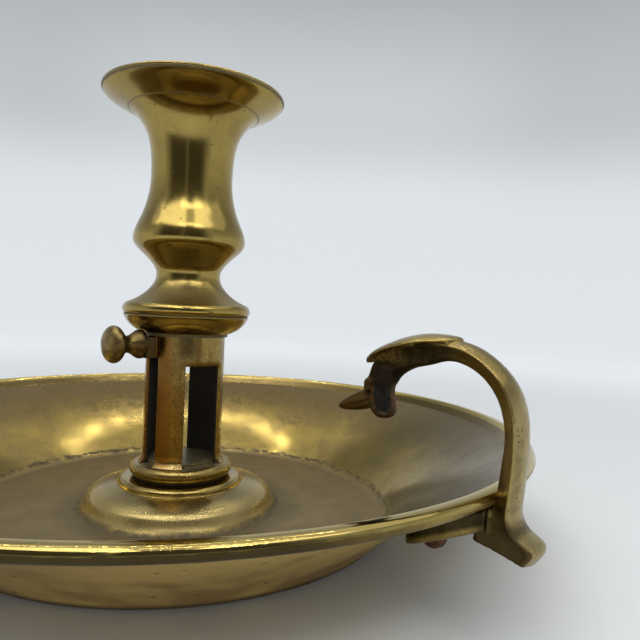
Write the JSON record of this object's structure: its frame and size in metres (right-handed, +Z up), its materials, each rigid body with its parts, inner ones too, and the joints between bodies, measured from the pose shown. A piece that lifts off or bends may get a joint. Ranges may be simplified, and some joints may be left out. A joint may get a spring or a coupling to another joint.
{
  "type": "chamberstick with finger loop",
  "caption": "Brass chamberstick: dished drip pan, pierced stem with push-up candle ejector, turned socket and a riveted finger loop ending in a bird's head.",
  "frame": {"origin": "centre of the base, on the surface it stands on", "axes": "+Z up along the stem, +X out through the finger loop"},
  "size_m": [0.2185, 0.209, 0.1282],
  "materials": {
    "pan_brass": "aged, dulled brass with grime in the corners",
    "socket_brass": "polished old brass with olive patina",
    "cast_brass": "turned cast brass, rubbed edges",
    "stem_brass": "brass tube, brown streaks, dark inside",
    "handle_brass": "cast brass, dark tarnish in the hollows, bright rubbed ridges",
    "copper": "tarnished copper",
    "steel": "dulled steel"
  },
  "bodies": {
    "root": {"drip_pan": "pan_brass", "stem_foot": "cast_brass", "stem_washer": "steel", "stem_nut": "steel", "stem_tube": "stem_brass", "candle_socket": "socket_brass", "handle": "handle_brass", "handle_rivets": "copper"},
    "ejector": {"ejector_disc": "cast_brass", "ejector_rod": "steel", "ejector_slider": "stem_brass", "ejector_knob": "socket_brass"}
  },
  "joints": [
    {"name": "ejector_slide", "type": "slide", "parent": "root", "child": "ejector", "axis": [0, 0, 1], "range_m": [-0.0288, 0]}
  ]
}
